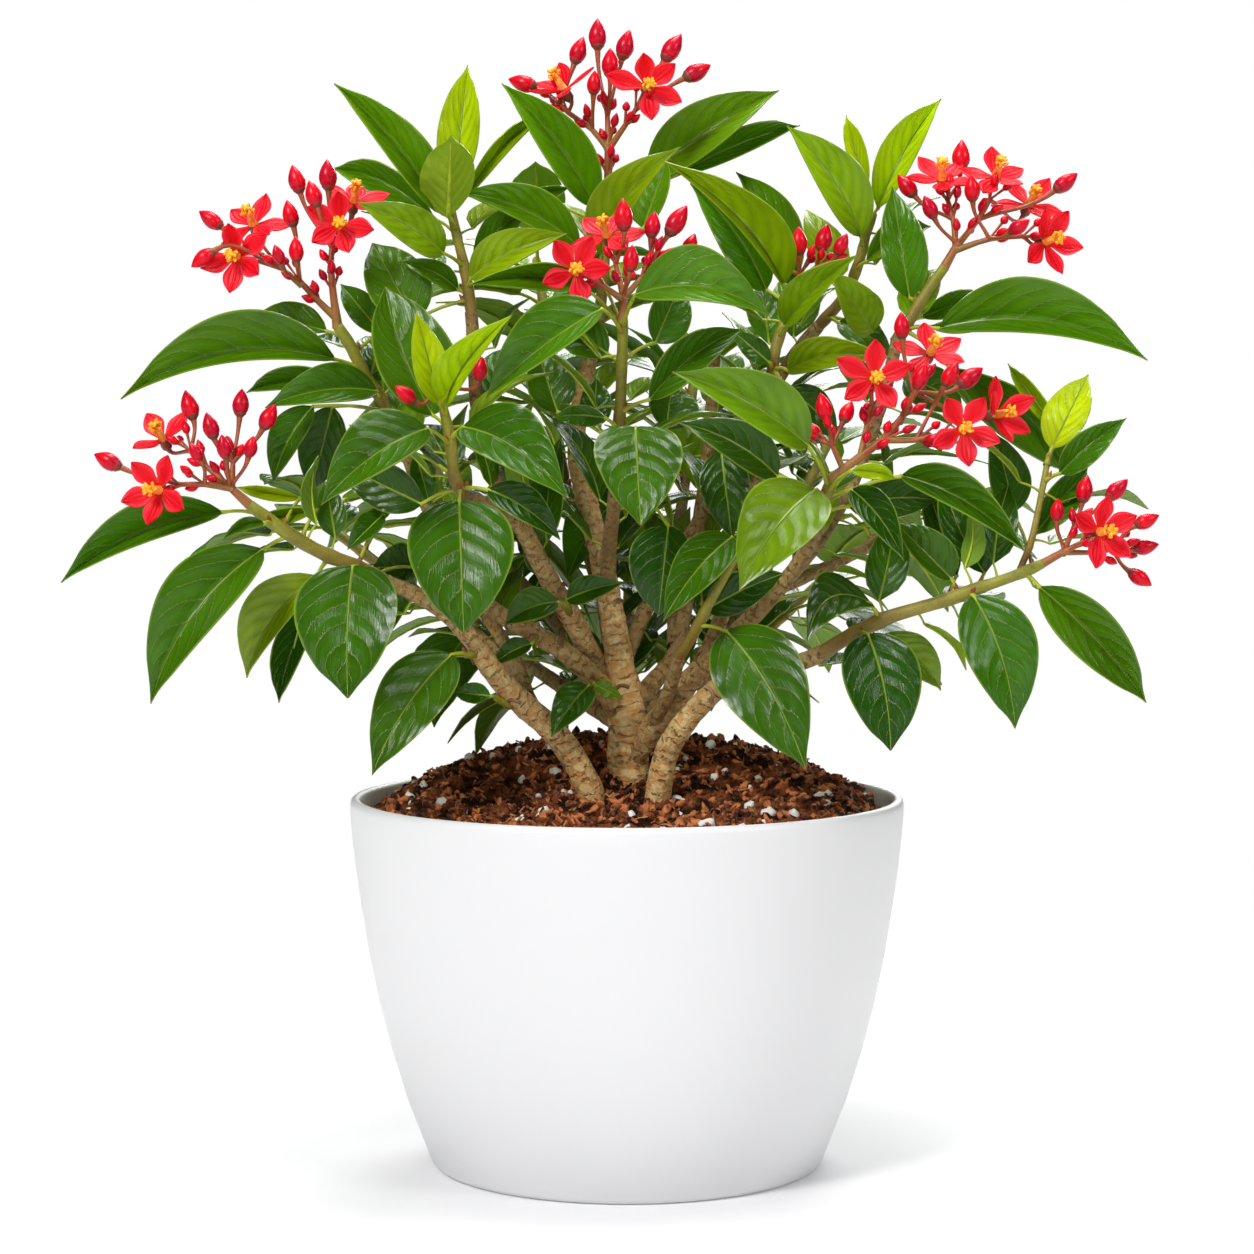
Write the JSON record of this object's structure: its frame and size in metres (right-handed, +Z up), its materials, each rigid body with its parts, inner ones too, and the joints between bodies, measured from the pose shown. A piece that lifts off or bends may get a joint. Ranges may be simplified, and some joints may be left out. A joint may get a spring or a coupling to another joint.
{
  "type": "potted jatropha",
  "caption": "A bushy jatropha with glossy pointed leaves, woody branches and coral-red star flowers in heads, growing in a plain round white pot filled with potting mix",
  "frame": {"origin": "centre of the pot's flat underside, where it stands", "axes": "X to the viewer's right, Y away from the viewer, Z up; the side in the picture faces -Y"},
  "size_m": [0.3808, 0.2642, 0.4145],
  "materials": {
    "pot": "satin",
    "soil": "matte",
    "wood": "matte",
    "leafy": "satin",
    "bloom": "matte"
  },
  "bodies": {
    "root": {"trunk_wood": "wood", "left_wood": "wood", "right_wood": "wood", "top_head": "bloom", "left_head": "bloom", "centre_head": "bloom", "mid_right_head": "bloom", "upper_right_head": "bloom", "right_centre_head": "bloom", "low_left_head": "bloom", "low_right_head": "bloom", "front_left_head": "bloom", "back_a_head": "bloom", "low_left_shoot": "leafy", "left_shoot": "leafy", "front_left_shoot": "leafy", "top_left_shoot": "leafy", "centre_shoot": "leafy", "top_shoot": "leafy", "right_centre_shoot": "leafy", "low_right_shoot": "leafy", "far_right_shoot": "leafy", "low_centre_shoot": "leafy", "upper_right_shoot": "leafy", "top_right_shoot": "leafy", "mid_right_shoot": "leafy", "fork_spur_shoot": "leafy", "elbow_spur_shoot": "leafy", "bend_spur_shoot": "leafy", "pot_spur_shoot": "leafy", "knob_spur_shoot": "leafy", "back_a_shoot": "leafy", "back_b_shoot": "leafy", "back_c_shoot": "leafy", "back_d_shoot": "leafy", "back_e_shoot": "leafy", "back_f_shoot": "leafy", "back_g_shoot": "leafy", "back_i_shoot": "leafy", "back_j_shoot": "leafy", "back_k_shoot": "leafy", "pot": "pot", "soil": "soil"}
  },
  "joints": []
}
